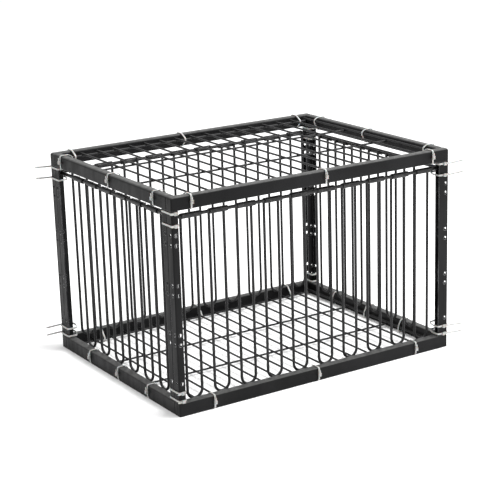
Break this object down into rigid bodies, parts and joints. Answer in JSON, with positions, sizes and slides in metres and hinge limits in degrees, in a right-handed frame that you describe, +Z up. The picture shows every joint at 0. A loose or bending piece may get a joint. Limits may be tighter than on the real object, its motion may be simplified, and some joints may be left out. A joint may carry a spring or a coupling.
{
  "type": "swing-bar wire cage",
  "caption": "Small black steel cage: four frames of free-hanging U-shaped bars that swing inwards, with a wire mesh roof and floor, held together with cable ties.",
  "frame": {"origin": "centre of the footprint, on the surface the cage stands on", "axes": "+X along the long sides, +Y from the front frame to the back frame, +Z up"},
  "size_m": [0.522, 0.3726, 0.3113],
  "materials": {
    "frame_steel": "satin black powder coat",
    "rod_steel": "satin black paint, rubbed where the bars hang",
    "bar_wire": "semi-gloss black dip paint on drawn wire",
    "mesh_wire": "semi-gloss black coating on welded wire",
    "tie_plastic": "natural grey nylon"
  },
  "bodies": {
    "cage": {"front_frame_top_rail": "frame_steel", "front_frame_bottom_rail": "frame_steel", "front_frame_left_post": "frame_steel", "front_frame_right_post": "frame_steel", "front_pivot_rod": "rod_steel", "right_frame_top_rail": "frame_steel", "right_frame_bottom_rail": "frame_steel", "right_frame_left_post": "frame_steel", "right_frame_right_post": "frame_steel", "right_pivot_rod": "rod_steel", "back_frame_top_rail": "frame_steel", "back_frame_bottom_rail": "frame_steel", "back_frame_left_post": "frame_steel", "back_frame_right_post": "frame_steel", "back_pivot_rod": "rod_steel", "left_frame_top_rail": "frame_steel", "left_frame_bottom_rail": "frame_steel", "left_frame_left_post": "frame_steel", "left_frame_right_post": "frame_steel", "left_pivot_rod": "rod_steel", "floor_mesh": "mesh_wire", "roof_mesh": "mesh_wire", "corner_ties": "tie_plastic", "floor_mesh_ties": "tie_plastic", "roof_mesh_ties": "tie_plastic"},
    "front_bar_01": {"front_hanging_bar_01": "bar_wire"},
    "front_bar_02": {"front_hanging_bar_02": "bar_wire"},
    "front_bar_03": {"front_hanging_bar_03": "bar_wire"},
    "front_bar_04": {"front_hanging_bar_04": "bar_wire"},
    "front_bar_05": {"front_hanging_bar_05": "bar_wire"},
    "front_bar_06": {"front_hanging_bar_06": "bar_wire"},
    "front_bar_07": {"front_hanging_bar_07": "bar_wire"},
    "front_bar_08": {"front_hanging_bar_08": "bar_wire"},
    "front_bar_09": {"front_hanging_bar_09": "bar_wire"},
    "front_bar_10": {"front_hanging_bar_10": "bar_wire"},
    "right_bar_01": {"right_hanging_bar_01": "bar_wire"},
    "right_bar_02": {"right_hanging_bar_02": "bar_wire"},
    "right_bar_03": {"right_hanging_bar_03": "bar_wire"},
    "right_bar_04": {"right_hanging_bar_04": "bar_wire"},
    "right_bar_05": {"right_hanging_bar_05": "bar_wire"},
    "right_bar_06": {"right_hanging_bar_06": "bar_wire"},
    "back_bar_01": {"back_hanging_bar_01": "bar_wire"},
    "back_bar_02": {"back_hanging_bar_02": "bar_wire"},
    "back_bar_03": {"back_hanging_bar_03": "bar_wire"},
    "back_bar_04": {"back_hanging_bar_04": "bar_wire"},
    "back_bar_05": {"back_hanging_bar_05": "bar_wire"},
    "back_bar_06": {"back_hanging_bar_06": "bar_wire"},
    "back_bar_07": {"back_hanging_bar_07": "bar_wire"},
    "back_bar_08": {"back_hanging_bar_08": "bar_wire"},
    "back_bar_09": {"back_hanging_bar_09": "bar_wire"},
    "back_bar_10": {"back_hanging_bar_10": "bar_wire"},
    "left_bar_01": {"left_hanging_bar_01": "bar_wire"},
    "left_bar_02": {"left_hanging_bar_02": "bar_wire"},
    "left_bar_03": {"left_hanging_bar_03": "bar_wire"},
    "left_bar_04": {"left_hanging_bar_04": "bar_wire"},
    "left_bar_05": {"left_hanging_bar_05": "bar_wire"},
    "left_bar_06": {"left_hanging_bar_06": "bar_wire"}
  },
  "joints": [
    {"name": "front_bar_01_swing", "type": "hinge", "parent": "cage", "child": "front_bar_01", "pos_m": [-0.2075, -0.172, 0.28], "axis": [1, 0, 0], "range_deg": [0, 55]},
    {"name": "front_bar_02_swing", "type": "hinge", "parent": "cage", "child": "front_bar_02", "pos_m": [-0.1625, -0.172, 0.28], "axis": [1, 0, 0], "range_deg": [0, 55]},
    {"name": "front_bar_03_swing", "type": "hinge", "parent": "cage", "child": "front_bar_03", "pos_m": [-0.1175, -0.172, 0.28], "axis": [1, 0, 0], "range_deg": [0, 55]},
    {"name": "front_bar_04_swing", "type": "hinge", "parent": "cage", "child": "front_bar_04", "pos_m": [-0.0725, -0.172, 0.28], "axis": [1, 0, 0], "range_deg": [0, 55]},
    {"name": "front_bar_05_swing", "type": "hinge", "parent": "cage", "child": "front_bar_05", "pos_m": [-0.0275, -0.172, 0.28], "axis": [1, 0, 0], "range_deg": [0, 55]},
    {"name": "front_bar_06_swing", "type": "hinge", "parent": "cage", "child": "front_bar_06", "pos_m": [0.0175, -0.172, 0.28], "axis": [1, 0, 0], "range_deg": [0, 55]},
    {"name": "front_bar_07_swing", "type": "hinge", "parent": "cage", "child": "front_bar_07", "pos_m": [0.0625, -0.172, 0.28], "axis": [1, 0, 0], "range_deg": [0, 55]},
    {"name": "front_bar_08_swing", "type": "hinge", "parent": "cage", "child": "front_bar_08", "pos_m": [0.1075, -0.172, 0.28], "axis": [1, 0, 0], "range_deg": [0, 55]},
    {"name": "front_bar_09_swing", "type": "hinge", "parent": "cage", "child": "front_bar_09", "pos_m": [0.1525, -0.172, 0.28], "axis": [1, 0, 0], "range_deg": [0, 55]},
    {"name": "front_bar_10_swing", "type": "hinge", "parent": "cage", "child": "front_bar_10", "pos_m": [0.1975, -0.172, 0.28], "axis": [1, 0, 0], "range_deg": [0, 55]},
    {"name": "right_bar_01_swing", "type": "hinge", "parent": "cage", "child": "right_bar_01", "pos_m": [0.227, -0.1075, 0.28], "axis": [0, 1, 0], "range_deg": [0, 55]},
    {"name": "right_bar_02_swing", "type": "hinge", "parent": "cage", "child": "right_bar_02", "pos_m": [0.227, -0.0625, 0.28], "axis": [0, 1, 0], "range_deg": [0, 55]},
    {"name": "right_bar_03_swing", "type": "hinge", "parent": "cage", "child": "right_bar_03", "pos_m": [0.227, -0.0175, 0.28], "axis": [0, 1, 0], "range_deg": [0, 55]},
    {"name": "right_bar_04_swing", "type": "hinge", "parent": "cage", "child": "right_bar_04", "pos_m": [0.227, 0.0275, 0.28], "axis": [0, 1, 0], "range_deg": [0, 55]},
    {"name": "right_bar_05_swing", "type": "hinge", "parent": "cage", "child": "right_bar_05", "pos_m": [0.227, 0.0725, 0.28], "axis": [0, 1, 0], "range_deg": [0, 55]},
    {"name": "right_bar_06_swing", "type": "hinge", "parent": "cage", "child": "right_bar_06", "pos_m": [0.227, 0.1175, 0.28], "axis": [0, 1, 0], "range_deg": [0, 55]},
    {"name": "back_bar_01_swing", "type": "hinge", "parent": "cage", "child": "back_bar_01", "pos_m": [0.2075, 0.172, 0.28], "axis": [-1, 0, 0], "range_deg": [0, 55]},
    {"name": "back_bar_02_swing", "type": "hinge", "parent": "cage", "child": "back_bar_02", "pos_m": [0.1625, 0.172, 0.28], "axis": [-1, 0, 0], "range_deg": [0, 55]},
    {"name": "back_bar_03_swing", "type": "hinge", "parent": "cage", "child": "back_bar_03", "pos_m": [0.1175, 0.172, 0.28], "axis": [-1, 0, 0], "range_deg": [0, 55]},
    {"name": "back_bar_04_swing", "type": "hinge", "parent": "cage", "child": "back_bar_04", "pos_m": [0.0725, 0.172, 0.28], "axis": [-1, 0, 0], "range_deg": [0, 55]},
    {"name": "back_bar_05_swing", "type": "hinge", "parent": "cage", "child": "back_bar_05", "pos_m": [0.0275, 0.172, 0.28], "axis": [-1, 0, 0], "range_deg": [0, 55]},
    {"name": "back_bar_06_swing", "type": "hinge", "parent": "cage", "child": "back_bar_06", "pos_m": [-0.0175, 0.172, 0.28], "axis": [-1, 0, 0], "range_deg": [0, 55]},
    {"name": "back_bar_07_swing", "type": "hinge", "parent": "cage", "child": "back_bar_07", "pos_m": [-0.0625, 0.172, 0.28], "axis": [-1, 0, 0], "range_deg": [0, 55]},
    {"name": "back_bar_08_swing", "type": "hinge", "parent": "cage", "child": "back_bar_08", "pos_m": [-0.1075, 0.172, 0.28], "axis": [-1, 0, 0], "range_deg": [0, 55]},
    {"name": "back_bar_09_swing", "type": "hinge", "parent": "cage", "child": "back_bar_09", "pos_m": [-0.1525, 0.172, 0.28], "axis": [-1, 0, 0], "range_deg": [0, 55]},
    {"name": "back_bar_10_swing", "type": "hinge", "parent": "cage", "child": "back_bar_10", "pos_m": [-0.1975, 0.172, 0.28], "axis": [-1, 0, 0], "range_deg": [0, 55]},
    {"name": "left_bar_01_swing", "type": "hinge", "parent": "cage", "child": "left_bar_01", "pos_m": [-0.227, 0.1075, 0.28], "axis": [0, -1, 0], "range_deg": [0, 55]},
    {"name": "left_bar_02_swing", "type": "hinge", "parent": "cage", "child": "left_bar_02", "pos_m": [-0.227, 0.0625, 0.28], "axis": [0, -1, 0], "range_deg": [0, 55]},
    {"name": "left_bar_03_swing", "type": "hinge", "parent": "cage", "child": "left_bar_03", "pos_m": [-0.227, 0.0175, 0.28], "axis": [0, -1, 0], "range_deg": [0, 55]},
    {"name": "left_bar_04_swing", "type": "hinge", "parent": "cage", "child": "left_bar_04", "pos_m": [-0.227, -0.0275, 0.28], "axis": [0, -1, 0], "range_deg": [0, 55]},
    {"name": "left_bar_05_swing", "type": "hinge", "parent": "cage", "child": "left_bar_05", "pos_m": [-0.227, -0.0725, 0.28], "axis": [0, -1, 0], "range_deg": [0, 55]},
    {"name": "left_bar_06_swing", "type": "hinge", "parent": "cage", "child": "left_bar_06", "pos_m": [-0.227, -0.1175, 0.28], "axis": [0, -1, 0], "range_deg": [0, 55]}
  ]
}
